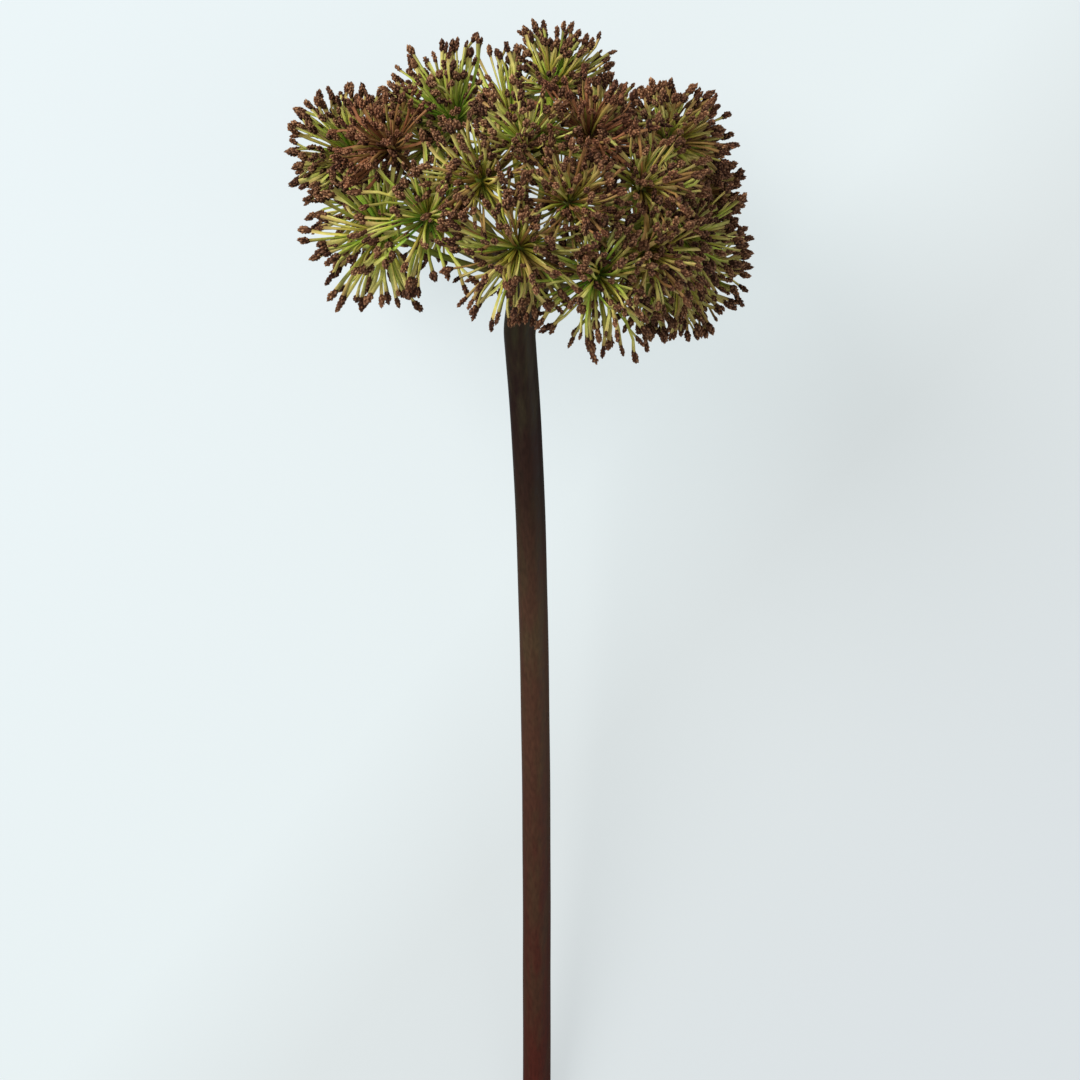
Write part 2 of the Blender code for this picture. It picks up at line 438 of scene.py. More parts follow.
def burst_directions(axis, kind, dice):
    """Directions spread evenly round the axis, each one's clump, and which of them are short.

    They go as far as the kind's spread. Beyond it they fill the lower side and the cover on the upper side,
    and there the pedicels of a kind with a cover are short.
    """
    reach = max(kind["spread"], FULLEST_SPREAD)
    per_height = kind["count"] / (1 - math.cos(kind["spread"]))
    count = round(per_height * (1 - math.cos(reach)))
    height = 1 - (np.arange(count) + 0.5) / per_height
    height = np.clip(height + dice.normal(0, HEIGHT_JITTER, count), -1, 1)
    turn = np.arange(count) * GOLDEN_ANGLE + dice.normal(0, TURN_JITTER, count)
    turn += dice.uniform(0, math.tau)
    side, upward = across(axis)
    flat = np.sqrt(1 - height ** 2)
    even = (
        height[:, None] * axis
        + (flat * np.cos(turn))[:, None] * side
        + (flat * np.sin(turn))[:, None] * upward
    )
    inside = np.arange(count) < kind["count"]
    covered = (even[:, 2] > UPPER_SIDE) & (dice.uniform(0, 1, count) < kind["cover"])
    grown = inside | covered | (even[:, 2] < LOWER_SIDE)
    short = (grown & ~inside)[grown] & (kind["cover"] > 0)
    even = even[grown]
    leaders = even[CLUMP_SIZE // 2::CLUMP_SIZE]
    clump = (even @ leaders.T).argmax(axis=1)
    pull = kind["clumping"] * dice.uniform(0, 1, len(even))[:, None]
    return unit(even + pull * (leaders[clump] - even)), clump, short


def settle(tips, hub, heading, rivals, mingle, dice):
    """Draw back tips deep in a neighbour's ground, and lift those that would sink in the floor."""
    before = tips.copy()
    for _ in range(CROWDING_ROUNDS):
        for rival in rivals:
            wall = unit(heading - rival)
            depth = (tips - hub) @ wall + mingle
            tips = tips - np.minimum(depth, 0)[:, None] * wall
    lost = np.linalg.norm(tips - before, axis=1)
    tips = tips + OUTWARD_RETURN * lost[:, None] * heading
    lowest = FLOOR_REST + dice.uniform(0, FLOOR_REST_SPREAD, len(tips))
    tips[:, 2] = np.maximum(tips[:, 2], lowest)
    return tips


def map_places(points, sideways, upward):
    """Places on the map for points, whose first axis runs over the pedicels, each in its pedicel's cell.

    sideways goes from -1 to 1 across what stands in a cell, and upward from 0 to 1 up the cell.
    """
    rows = math.ceil(len(points) / MAP_COLUMNS)
    index = np.arange(len(points))[:, None, None]
    places = np.empty(points.shape[:-1] + (2,))
    places[..., 0] = index % MAP_COLUMNS * CELL_WIDTH + CELL_WIDTH * (0.5 + CELL_FILL * sideways)
    places[..., 1] = index // MAP_COLUMNS / rows + 1 / rows * upward
    return places


def ring_angles(sides):
    return np.arange(sides) * math.tau / sides


def round_section(angle):
    """The points of a round tube's section at each angle."""
    return np.stack((np.cos(angle), np.sin(angle)), axis=1)


def add_pedicels(shape, knot, directions, tips, kind, tone, rust, dice):
    """The shafts, curving from the knot to the clubs. Returns each club's foot, heading and length."""
    count = len(tips)
    lengths = np.linalg.norm(tips - knot, axis=1)
    bow = dice.normal(0, BOW, (count, 3)) * lengths[:, None]
    roots = knot + directions * KNOT_RADIUS * ROOT_DEPTH
    leaning = unit(directions + unit(tips - knot))
    handles = knot + leaning * (HANDLE_PLACE * lengths)[:, None] + bow
    club_lengths = dice.uniform(*kind["clubs"], count) * np.clip(lengths / lengths.max(), SHORTEST_CLUB, 1)
    ends = 1 - club_lengths / lengths
    time = (STATIONS[None] * ends[:, None])[..., None]
    centres = (
        (1 - time) ** 2 * roots[:, None]
        + 2 * time * (1 - time) * handles[:, None]
        + time ** 2 * tips[:, None]
    )
    centres[..., 2] = np.maximum(centres[..., 2], SHAFT_REST)
    angle = ring_angles(SHAFT_SIDES)
    section = round_section(angle) * (1, SHAFT_FLATNESS)
    reference = unit(dice.normal(size=(count, 3)))
    radii = kind["girth"] * SHAFT_RADII * dice.uniform(*SHAFT_WIDTHS, count)[:, None]
    points = tube_points(centres, reference, radii, section)
    # One edge of each shaft carries a painted highlight, through lift.
    ridge = (np.arange(SHAFT_SIDES) == 0).astype(float)
    upward = SHAFT_BAND[0] + SHAFT_BAND[1] * STATIONS[None, :, None] + ROUND_LIFT * np.sin(angle)
    shape.add(
        points,
        tube_faces(count, len(STATIONS), SHAFT_SIDES),
        map_places(points, np.cos(angle), upward),
        along=STATIONS[None, :, None],
        lift=ridge,
        tone=tone[:, None, None],
        rust=rust[:, None, None],
    )
    return centres[:, -1], unit(centres[:, -1] - centres[:, -2]), club_lengths


def add_clubs(shape, feet, headings, lengths, kind, rust, dice):
    """Each club's core and grains. feet and headings are those of the shafts' ends."""
    count = len(feet)
    headings = unit(headings + dice.normal(0, CLUB_TILT, (count, 3)))
    radii = kind["girth"] * dice.uniform(*CLUB_RADII, count)
    bare = dice.uniform(0, 1, count) < BARE_SHARE
    shade = dice.uniform(0, 1, count)
    side = unit(np.cross(headings, unit(dice.normal(size=(count, 3)))))
    clubs = {
        "feet": feet,
        "headings": headings,
        "sides": side,
        "radii": np.where(bare, radii * BARE_RADIUS, radii),
        "lengths": np.where(bare, lengths * BARE_LENGTH, lengths),
        "shade": shade,
        "rust": rust,
    }
    add_cores(shape, clubs)
    add_grains(shape, clubs, dice)


def add_cores(shape, clubs):
    overlapped = (clubs["lengths"] + CLUB_OVERLAP)[:, None]
    stations = CLUB_STATIONS[None] * overlapped - CLUB_OVERLAP
    centres = clubs["feet"][:, None] + stations[..., None] * clubs["headings"][:, None]
    radii = CLUB_PROFILE[None] * (clubs["radii"] * CORE_SHARE)[:, None]
    angle = ring_angles(CORE_SIDES)
    points = tube_points(centres, clubs["sides"], radii, round_section(angle))
    upward = CORE_BAND[0] + CORE_BAND[1] * CLUB_STATIONS[None, :, None] + ROUND_LIFT * np.sin(angle)
    # The core is painted dark as shade between its grains, less so towards its tip.
    shape.add(
        points,
        tube_faces(len(points), len(CLUB_STATIONS), CORE_SIDES),
        map_places(points, np.cos(angle), upward),
        along=1.0,
        lift=CORE_PAINTED_SHADE[0] + CORE_PAINTED_SHADE[1] * CLUB_STATIONS[None, :, None],
        tone=clubs["shade"][:, None, None],
        rust=clubs["rust"][:, None, None],
        seed=1.0,
    )


def add_grains(shape, clubs, dice):
    """Grains in a spiral up each club, and one on its tip."""
    feet, headings, side = clubs["feet"], clubs["headings"], clubs["sides"]
    radii = clubs["radii"][:, None]
    count = len(feet)
    rank = (np.arange(GRAINS) + 0.5) / GRAINS
    place = np.clip(rank[None] + dice.normal(0, GRAIN_DRIFT, (count, GRAINS)), 0, 1)
    place[:, -1] = TOP_GRAIN
    turn = np.arange(GRAINS)[None] * GOLDEN_ANGLE + dice.normal(0, GRAIN_TURN, (count, GRAINS))
    upward = np.cross(headings, side)
    outward = np.cos(turn)[..., None] * side[:, None] + np.sin(turn)[..., None] * upward[:, None]
    profile = np.interp(place, CLUB_STATIONS, CLUB_PROFILE)
    profile[:, -1] = 0.0
    axes = headings[:, None] + GRAIN_FLARE * outward
    axes[:, -1] = headings
    axes = unit(axes + dice.normal(0, GRAIN_TILT, axes.shape))
    breadth = radii * GRAIN_WIDTH * dice.uniform(*GRAIN_SIZES, (count, GRAINS))
    reach = breadth * GRAIN_LENGTH
    middles = (
        feet[:, None]
        + (place * clubs["lengths"][:, None])[..., None] * headings[:, None]
        + np.maximum(radii * profile - GRAIN_SINK * breadth, 0)[..., None] * outward
    )
    around = np.cross(axes, outward)
    first = unit(np.cross(around, axes) + around * dice.uniform(*GRAIN_TWISTS, (count, GRAINS, 1)))
    second = np.cross(axes, first)
    points = (
        middles[:, :, None]
        + breadth[..., None, None] * GRAIN_POINTS[:, 0, None] * first[:, :, None]
        + breadth[..., None, None] * GRAIN_POINTS[:, 1, None] * second[:, :, None]
        + reach[..., None, None] * GRAIN_POINTS[:, 2, None] * axes[:, :, None]
    )
    own_shade = dice.uniform(0, 1, (count, GRAINS)) ** 2
    shade = SHARED_SHADE * clubs["shade"][:, None] + (1 - SHARED_SHADE) * own_shade
    starts = np.arange(count * GRAINS)[:, None, None] * len(GRAIN_POINTS)
    across_cell, round_grain, up_grain = GRAIN_POINTS.T
    # The grains' lift carries painted shade at their feet and a painted highlight at their tips.
    shape.add(
        points,
        [starts + GRAIN_FACES[None]],
        map_places(
            points,
            across_cell,
            GRAIN_BAND[0] + GRAIN_BAND[1] * up_grain + GRAIN_ROUND_LIFT * round_grain,
        ),
        along=1.0,
        lift=GRAIN_PAINTED_LIGHT,
        tone=shade[..., None],
        rust=clubs["rust"][:, None, None],
        seed=1.0,
    )


def add_knot(shape, knot, rust, dice):
    points, faces = ball(KNOT_DETAIL)
    waves = dice.normal(0, KNOT_WAVE_RATE, (KNOT_WAVES, 3))
    phases = dice.uniform(0, math.tau, KNOT_WAVES)
    lumps = sum(np.sin(points @ wave + phase) for wave, phase in zip(waves, phases))
    radii = KNOT_RADIUS * (KNOT_SIZE + KNOT_LUMPS * lumps)
    across_map = 1 - CELL_WIDTH * (KNOT_COLUMN + LAST_FILL * points[:, 0])
    places = np.stack((across_map, KNOT_BAND[0] + KNOT_BAND[1] * points[:, 2]), axis=1)
    shape.add(knot + points * radii[:, None], [faces], places, rust=rust, **KNOT_TRAITS)


def add_ray(shape, hub, knot, rust, dice):
    heading = unit(knot - hub)
    side, upward = across(heading)
    share = np.linspace(0, 1, RAY_RINGS)
    turn = dice.uniform(0, math.tau)
    sway = RAY_BOW * dice.uniform(*RAY_BOW_SHARES) * np.sin(share * math.pi)
    bow = math.cos(turn) * side + math.sin(turn) * upward
    start = hub + heading * HUB_RADIUS * RAY_START
    centres = start + share[:, None] * (knot - start) + sway[:, None] * bow
    foot = RAY_FOOT * np.exp(-share / RAY_FOOT_FADE)
    head = RAY_HEAD * np.exp(-(1 - share) / RAY_HEAD_FADE)
    angle = ring_angles(RAY_SIDES)
    ridge = (np.arange(RAY_SIDES) % 2 == 0).astype(float)
    section = round_section(angle) * (RAY_GROOVE + RAY_RIDGE * ridge)[:, None]
    points = tube_points(centres[None], side[None], (RAY_RADIUS + foot + head)[None], section)
    places = np.empty(points.shape[:-1] + (2,))
    places[..., 0] = 1 - CELL_WIDTH * (RAY_COLUMN + LAST_FILL * np.cos(angle))
    places[..., 1] = RAY_BAND[0] + RAY_BAND[1] * share[None, :, None] + RAY_ROUND_LIFT * np.sin(angle)
    along = RAY_PLACES[0] - RAY_PLACES[1] * share + RAY_WAVE[0] * np.sin(share * RAY_WAVE[1])
    bark = np.clip(RAY_BARKS[0] - RAY_BARKS[1] * share, 0, 1)
    shape.add(
        points,
        tube_faces(1, RAY_RINGS, RAY_SIDES),
        places,
        along=along[None, :, None],
        # the ridges carry a painted highlight
        lift=ridge * RAY_RIDGE_HIGHLIGHT,
        tone=dice.uniform(*RAY_TONES),
        rust=rust,
        bark=bark[None, :, None],
    )


def make_umbellet(umbellet, umbellets, hub, material, slot, dice):
    name = umbellet["name"]
    heading = umbellet["heading"]
    knot = umbellet["knot"]
    kind = KINDS[KIND_OF.get(name, "full")]
    level = rust_and_shade_level(name, slot, dice)
    rivals = [other["heading"] for other in umbellets if other is not umbellet]
    axis = burst_axis(heading, LEANINGS.get(name, (0, 0, 0)))
    directions, clump, short = burst_directions(axis, kind, dice)
    count = len(directions)
    longest = umbellet["longest"] * STRETCHES.get(name, 1)
    lengths = longest * (1 - kind["shortening"] * dice.uniform(0, 1, count) ** SHORTENING_POWER)
    lengths *= 1 + dice.normal(0, CLUMP_LENGTHS, clump.max() + 1)[clump]
    stunted = short | (dice.uniform(0, 1, count) < kind["stunted"])
    lengths = np.where(stunted, longest * dice.uniform(*STUNTED_LENGTHS, count), lengths)
    tips = settle(knot + directions * lengths[:, None], hub, heading, rivals, kind["mingle"], dice)
    rust = np.clip(dice.normal(level, RUST_SPREAD, count), 0, 1)
    tint = dice.uniform(0, 1, count) + dice.normal(0, TONE_SPREAD) + TINTS.get(name, 0)
    tone = np.clip(tint, 0, 1)
    shape = Shape()
    add_ray(shape, hub, knot, level, dice)
    add_knot(shape, knot, level, dice)
    feet, headings, club_lengths = add_pedicels(shape, knot, directions, tips, kind, tone, rust, dice)
    add_clubs(shape, feet, headings, club_lengths, kind, rust, dice)
    return place_piece(name.replace("umbellet", "seed_burst"), shape, material, name)


def rust_and_shade_level(name, slot, dice):
    """How far an umbellet has turned rust brown, and for some also painted shade. A green one draws a
    slight rust, used or not.
    """
    if slot == RUSTY_SLOT:
        return RUST_LEVEL
    slight = abs(dice.normal(0, SLIGHT_RUST))
    return RUST_AND_PAINTED_SHADE.get(name, slight)


def place_piece(name, shape, material, node):
    mesh = shape.to_mesh(name)
    mesh.materials.append(material)
    mesh.shade_smooth()
    mesh.set_sharp_from_angle(angle=SHARP_ANGLE)
    piece = bpy.data.objects.new(name, mesh)
    bpy.context.scene.collection.objects.link(piece)
    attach(piece, "root")
    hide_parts(node)
    return piece


# The stem.

FULL_RING = 17  # a ring with no more points than this was cut short by the straight part's end
RING_GAP = 3 * MM  # rings of the frame's stem stand further apart than this
STRAIGHT_PART = 1.5 * HUB_RADIUS  # from the hub's middle to the last ring that is read
KNOB_ANGLES = np.radians(np.linspace(-42, 72, 15))  # of rings round the hub, from its equator up
STEM_SIDES = 48
STEM_STEP = 2.5 * MM
RIBS = 13
RIB_HEIGHT = 0.012  # as a share of the stem's radius
RIB_WANDER = 0.5  # how unevenly the ribs stand round the stem, in radians
WANDER_TURNS = 3  # places round it where they stand closest
RIB_ONSET = 12  # the ribs have their full height from 1/12 of the stem's length down
WAVE_HEIGHT = 0.006  # slow swells that wind along the stem
WAVE_TURNS = 5
WAVE_RATE = 40  # radians over the stem's length
PITH_RINGS = (0.93, 0.8, 0.55, 0.25)  # rings of the cut end, as shares of its rim
PITH_SHADES = np.array((0.0, 0.3, 0.8, 1.0, 1.0))  # how pale the rim and those rings are
BARK_SHARE = 0.9  # the cut steps in over the rings inside this share of the rim
CUT_STEP = 0.15 * MM
CUT_HOLLOW = 0.5 * MM  # how much deeper the cut is in the middle
# Where the stem's side and its cut end stand on the map: start and size, or middle and radius.
SIDE_ACROSS = (0.01, 0.8)
SIDE_UP = (0.01, 0.98)
CUT_MIDDLE = (0.91, 0.1)
CUT_ROUND = 0.08


def stem_sections(hub):
    """The frame's stem ring by ring, from the cut end up: middles and radii of its straight part."""
    points = node_points("stem")
    points = points[points[:, 1] < hub[1] - STRAIGHT_PART]
    order = points[np.argsort(points[:, 1])]
    breaks = np.where(np.diff(order[:, 1]) > RING_GAP)[0] + 1
    rings = [ring for ring in np.split(order, breaks) if len(ring) > FULL_RING]
    middles = np.array([ring.mean(axis=0) for ring in rings])
    radii = np.array([np.linalg.norm(ring - ring.mean(axis=0), axis=1).mean() for ring in rings])
    return middles, radii


def smooth_path(points, values, step):
    """Points and values resampled evenly along a smooth curve through them."""
    runs = np.concatenate(([0], np.cumsum(np.linalg.norm(np.diff(points, axis=0), axis=1))))
    places = np.linspace(0, runs[-1], int(runs[-1] / step) + 1)
    slopes = np.gradient(points, runs, axis=0)
    index = np.clip(np.searchsorted(runs, places, side="right") - 1, 0, len(runs) - 2)
    gap = runs[index + 1] - runs[index]
    t = ((places - runs[index]) / gap)[:, None]
    gap = gap[:, None]
    path = (
        (1 + 2 * t) * (1 - t) ** 2 * points[index]
        + t * (1 - t) ** 2 * gap * slopes[index]
        + t ** 2 * (3 - 2 * t) * points[index + 1]
        + t ** 2 * (t - 1) * gap * slopes[index + 1]
    )
    return path, np.interp(places, runs, values)


def make_stem(hub, material):
    middles, radii = stem_sections(hub)
    down = unit(middles[-1] - hub)
    path, thick = smooth_path(middles, radii, STEM_STEP)
    path = np.concatenate((path, hub - down * HUB_RADIUS * np.sin(KNOB_ANGLES)[:, None]))
    thick = np.concatenate((thick, HUB_RADIUS * np.cos(KNOB_ANGLES)))
    path, thick = smooth_path(path, thick, STEM_STEP / 2)
    along = np.clip((hub[1] - path[:, 1]) / (hub[1] - path[0, 1]), 0, 1)
    shape = Shape()
    rim = add_bark(shape, path, thick, along)
    add_cut(shape, rim, unit(path[1] - path[0]))
    return place_piece("stem_skin", shape, material, "stem")


def add_bark(shape, path, thick, along):
    """The ribbed side of the stem, closed over the hub and open at the cut. Returns its rim there."""
    angle = ring_angles(STEM_SIDES)
    onset = np.clip(along * RIB_ONSET, 0, 1)[:, None]
    ribs = 0.5 + 0.5 * np.cos(RIBS * angle + RIB_WANDER * np.sin(WANDER_TURNS * angle))[None]
    waves = WAVE_HEIGHT * np.sin(WAVE_TURNS * angle[None] + WAVE_RATE * along[:, None]) * onset
    swell = (1 - RIB_HEIGHT * onset * (1 - ribs) + waves)[None, ..., None]
    points = tube_points(path[None], np.array([[0.0, 0.0, 1.0]]), thick[None], round_section(angle))
    points = path[None, :, None] + (points - path[None, :, None]) * swell
    points[..., 2] = np.maximum(points[..., 2], 0)
    rings = len(path)
    walls, _, head = tube_faces(1, rings, STEM_SIDES)
    places = np.empty(points.shape[:-1] + (2,))
    places[..., 0] = SIDE_ACROSS[0] + SIDE_ACROSS[1] * (np.arange(STEM_SIDES) / (STEM_SIDES - 1))
    places[..., 1] = SIDE_UP[0] + SIDE_UP[1] * (np.arange(rings) / (rings - 1))[None, :, None]
    shape.add(points, [walls, head], places, along=along[None, :, None], lift=ribs[None])
    return points[0, 0]


def add_cut(shape, rim, inward):
    """The cut end: rings that step in from the rim to the pith, slightly hollow."""
    middle = rim.mean(axis=0)
    rings = [rim]
    for share in PITH_RINGS:
        depth = CUT_HOLLOW * (1 - share) ** 2 + (CUT_STEP if share < BARK_SHARE else 0)
        rings.append(middle + (rim - middle) * share + inward * depth)
    points = np.array(rings)[None]
    walls, _, head = tube_faces(1, len(rings), STEM_SIDES)
    angle = ring_angles(STEM_SIDES)
    shares = np.array((1.0,) + PITH_RINGS)[None, :, None]
    places = np.empty(points.shape[:-1] + (2,))
    places[..., 0] = CUT_MIDDLE[0] + CUT_ROUND * shares * np.cos(angle)
    places[..., 1] = CUT_MIDDLE[1] + CUT_ROUND * shares * np.sin(angle)
    shape.add(
        points,
        [walls[..., ::-1], head[..., ::-1]],
        places,
        along=1.0,
        seed=PITH_SHADES[None, :, None],
    )


# Materials.


def add_node(tree, kind, inputs=None, **settings):
    """A shader node with its settings, and its inputs set to numbers or joined to other nodes' outputs."""
    node = tree.nodes.new(kind)
    for name, value in settings.items():
        setattr(node, name, value)
    for name, value in (inputs or {}).items():
        socket = node.inputs[name]
        if isinstance(value, bpy.types.NodeSocket):
            tree.links.new(value, socket)
        else:
            socket.default_value = value
    return node


def trait(tree, name):
    return add_node(tree, "ShaderNodeAttribute", attribute_name=name).outputs["Fac"]


def ramp(tree, factor, stops):
    """A colour ramp through stops of (place, colour)."""
    node = add_node(tree, "ShaderNodeValToRGB", {"Fac": factor})
    while len(node.color_ramp.elements) < len(stops):
        node.color_ramp.elements.new(0.5)
    for element, (place, colour) in zip(node.color_ramp.elements, stops):
        element.position = place
        element.color = (*colour, 1)
    return node.outputs["Color"]


def grey_ramp(tree, factor, places, values):
    """A ramp from one grey to another between two places."""
    return ramp(tree, factor, [(place, (value,) * 3) for place, value in zip(places, values)])


def mix(tree, factor, first, second, blend="MIX"):
    node = tree.nodes.new("ShaderNodeMix")
    node.data_type = "RGBA"
    node.blend_type = blend
    for index, value in ((0, factor), (6, first), (7, second)):
        socket = node.inputs[index]
        if isinstance(value, bpy.types.NodeSocket):
            tree.links.new(value, socket)
        else:
            socket.default_value = (*value, 1) if isinstance(value, tuple) else value
    return node.outputs[2]


def maths(tree, operation, first, second):
    node = add_node(tree, "ShaderNodeMath", {0: first, 1: second}, operation=operation)
    return node.outputs[0]


def noise(tree, scale, detail=2.0, stretch=(1, 1, 1)):
    """Noise over the object's own metres, stretched along an axis where that axis' factor is small."""
    place = add_node(tree, "ShaderNodeTexCoord").outputs["Object"]
    placed = add_node(tree, "ShaderNodeMapping", {"Vector": place, "Scale": stretch}).outputs["Vector"]
    node = add_node(tree, "ShaderNodeTexNoise", {"Vector": placed, "Scale": scale, "Detail": detail})
    return node.outputs["Fac"]


def new_material(name, **settings):
    material = bpy.data.materials.new(name)
    material.use_nodes = True
    shader = material.node_tree.nodes["Principled BSDF"]
    for socket, value in settings.items():
        shader.inputs[socket.replace("_", " ")].default_value = value
    return material, material.node_tree, shader


def bump(tree, shader, height, strength, distance):
    node = add_node(
        tree, "ShaderNodeBump", {"Height": height, "Strength": strength, "Distance": distance}
    )
    tree.links.new(node.outputs["Normal"], shader.inputs["Normal"])


# Colours of stalks from the knot (0) to the club (1), from the freshest to the driest.
FRESH = (
    (0.0, (0.045, 0.10, 0.008)),
    (0.32, (0.15, 0.28, 0.020)),
    (0.7, (0.32, 0.40, 0.050)),
    (1.0, (0.30, 0.26, 0.07)),
)
GREEN = (
    (0.0, (0.050, 0.075, 0.006)),
    (0.2, (0.20, 0.25, 0.018)),
    (0.5, (0.375, 0.395, 0.055)),
    (0.8, (0.49, 0.485, 0.13)),
    (1.0, (0.36, 0.29, 0.09)),
)
OLIVE = (
    (0.0, (0.060, 0.048, 0.005)),
    (0.22, (0.23, 0.20, 0.016)),
    (0.52, (0.37, 0.335, 0.046)),
    (0.8, (0.46, 0.405, 0.11)),
    (1.0, (0.30, 0.21, 0.065)),
)
BROWN = (
    (0.0, (0.060, 0.034, 0.008)),
    (0.3, (0.22, 0.135, 0.026)),
    (0.8, (0.32, 0.20, 0.056)),
    (1.0, (0.19, 0.105, 0.036)),
)
RUSTY = (
    (0.0, (0.046, 0.014, 0.007)),
    (0.25, (0.13, 0.038, 0.016)),
    (0.7, (0.245, 0.093, 0.040)),
    (1.0, (0.20, 0.080, 0.035)),
)
# Tones between which one of the first four colours goes over into the next.
GREEN_TONES = (0.10, 0.22)
OLIVE_TONES = (0.40, 0.56)
BROWN_TONES = (0.76, 0.90)
RIDGE_HIGHLIGHT = (1.52, 1.5, 1.9)  # factor on the colour of a stalk's ridge, a painted highlight along it
RIDGE_HIGHLIGHT_SHARE = 0.8
RAY_BARK = (0.045, 0.023, 0.012)
# Colours of the seeds, their own brown with painted light on it: from a club's inside (0), dark as painted
# shade between the grains, to a painted highlight on the grains' tips (1); and factors on them by club.
SEEDS_SHADE_TO_HIGHLIGHT = (
    (0.0, (0.024, 0.009, 0.004)),
    (0.4, (0.068, 0.029, 0.014)),
    (0.75, (0.145, 0.075, 0.037)),
    (1.0, (0.25, 0.150, 0.084)),
)
SEED_SHADES = (
    (0.0, (0.40, 0.32, 0.34)),
    (0.25, (0.80, 0.69, 0.70)),
    (0.55, (1.25, 1.15, 1.08)),
    (0.85, (1.75, 1.7, 1.6)),
    (1.0, (2.4, 2.5, 2.4)),
)
REDDER_SEEDS = (1.0, 0.84, 0.84)
MOTTLE_SCALE = 700  # of the noise, per metre, as all scales here
MOTTLE_STOPS = (0.3, 0.7)
MOTTLES = ((0.3, (0.84, 0.84, 0.82)), (0.7, (1.12, 1.12, 1.12)))
STALK_ROUGHNESS = (0.42, 0.62)
HUSK_ROUGHNESS = (0.85, 0.5)  # inside a club and at the grains' tips
PORE_SCALE = 2500
PORE_STRENGTH = 0.35
PORE_DEPTH = 0.1 * MM


def burst_material(name):
    material, tree, shader = new_material(name, Specular_IOR_Level=0.12)
    along = trait(tree, "along")
    lift = trait(tree, "lift")
    tone = trait(tree, "tone")
    stalk = ramp(tree, along, FRESH)
    for colours, tones in ((GREEN, GREEN_TONES), (OLIVE, OLIVE_TONES), (BROWN, BROWN_TONES)):
        stalk = mix(tree, grey_ramp(tree, tone, tones, (0, 1)), stalk, ramp(tree, along, colours))
    # A painted highlight along the ridges of the shafts and rays.
    pale = mix(tree, 1.0, stalk, RIDGE_HIGHLIGHT, "MULTIPLY")
    stalk = mix(tree, maths(tree, "MULTIPLY", lift, RIDGE_HIGHLIGHT_SHARE), stalk, pale)
    stalk = mix(tree, trait(tree, "rust"), stalk, ramp(tree, along, RUSTY))
    stalk = mix(tree, trait(tree, "bark"), stalk, RAY_BARK)
    # The seeds' colour, with painted shade in the clubs and painted highlights on the grains' tips.
    seeds = mix(tree, 1.0, ramp(tree, lift, SEEDS_SHADE_TO_HIGHLIGHT), ramp(tree, tone, SEED_SHADES), "MULTIPLY")
    redder = mix(tree, 1.0, seeds, REDDER_SEEDS, "MULTIPLY")
    seeds = mix(tree, trait(tree, "rust"), seeds, redder)
    colour = mix(tree, trait(tree, "seed"), stalk, seeds)
    mottle = noise(tree, MOTTLE_SCALE, detail=3)
    colour = mix(tree, 1.0, colour, ramp(tree, mottle, MOTTLES), "MULTIPLY")
    tree.links.new(colour, shader.inputs["Base Color"])
    sheen = grey_ramp(tree, mottle, MOTTLE_STOPS, STALK_ROUGHNESS)
    husk = grey_ramp(tree, lift, (0, 1), HUSK_ROUGHNESS)
    tree.links.new(mix(tree, trait(tree, "seed"), sheen, husk), shader.inputs["Roughness"])
    bump(tree, shader, noise(tree, PORE_SCALE), PORE_STRENGTH, PORE_DEPTH)
    return material


# Colours of the stem from the hub (0) to the cut end (1): most of it, and its olive streaks.
BARK = (
    (0.0, (0.026, 0.016, 0.008)),
    (0.12, (0.010, 0.003, 0.002)),
    (0.25, (0.016, 0.006, 0.003)),
    (0.38, (0.040, 0.017, 0.009)),
    (0.55, (0.044, 0.017, 0.009)),
    (0.7, (0.038, 0.011, 0.006)),
    (1.0, (0.040, 0.006, 0.003)),
)
STREAKED_BARK = (
    (0.0, (0.030, 0.024, 0.010)),
    (0.22, (0.012, 0.006, 0.003)),
    (0.42, (0.042, 0.024, 0.011)),
    (1.0, (0.034, 0.010, 0.005)),
)
STREAK_SCALE = 260
STREAK_STRETCH = (1, 0.045, 1)
STREAK_STOPS = (0.42, 0.62)
STREAK_STRENGTH = 0.3
STREAK_DEPTH = 0.3 * MM
SPECKLE_SCALE = 1400
SPECKLE_STRETCH = (1, 0.2, 1)
SPECKLE_STOPS = (0.3, 0.7)
SPECKLE_SHADES = (0.8, 1.2)
BARK_ROUGHNESS = (0.36, 0.6)
FIBRE_SCALE = 1100
PITH = ((0.3, (0.30, 0.20, 0.11)), (0.7, (0.55, 0.42, 0.26)))
PITH_ROUGHNESS = (0.85, 0.85, 0.85)


def stem_material():
    material, tree, shader = new_material("stem_bark", Specular_IOR_Level=0.1)
    along = trait(tree, "along")
    streaks = noise(tree, STREAK_SCALE, detail=3, stretch=STREAK_STRETCH)
    bands = grey_ramp(tree, streaks, STREAK_STOPS, (0, 1))
    colour = mix(tree, bands, ramp(tree, along, BARK), ramp(tree, along, STREAKED_BARK))
    speckle = noise(tree, SPECKLE_SCALE, detail=3, stretch=SPECKLE_STRETCH)
    shade = grey_ramp(tree, speckle, SPECKLE_STOPS, SPECKLE_SHADES)
    colour = mix(tree, 1.0, colour, shade, "MULTIPLY")
    pith = ramp(tree, noise(tree, FIBRE_SCALE, detail=3), PITH)
    colour = mix(tree, trait(tree, "seed"), colour, pith)
    tree.links.new(colour, shader.inputs["Base Color"])
    sheen = grey_ramp(tree, speckle, SPECKLE_STOPS, BARK_ROUGHNESS)
    rough = mix(tree, trait(tree, "seed"), sheen, PITH_ROUGHNESS)
    tree.links.new(rough, shader.inputs["Roughness"])
    bump(tree, shader, streaks, STREAK_STRENGTH, STREAK_DEPTH)
    return material


# The staging.

CAMERA_HEIGHT = 1.4  # above the hub
FRAME_WIDTH = 0.364  # what the picture spans at the hub's height
FRAME_SHIFT = (4.4 * MM, -86.9 * MM)  # from the hub to the picture's middle
SENSOR = 36.0
CLIP_END = 20.0
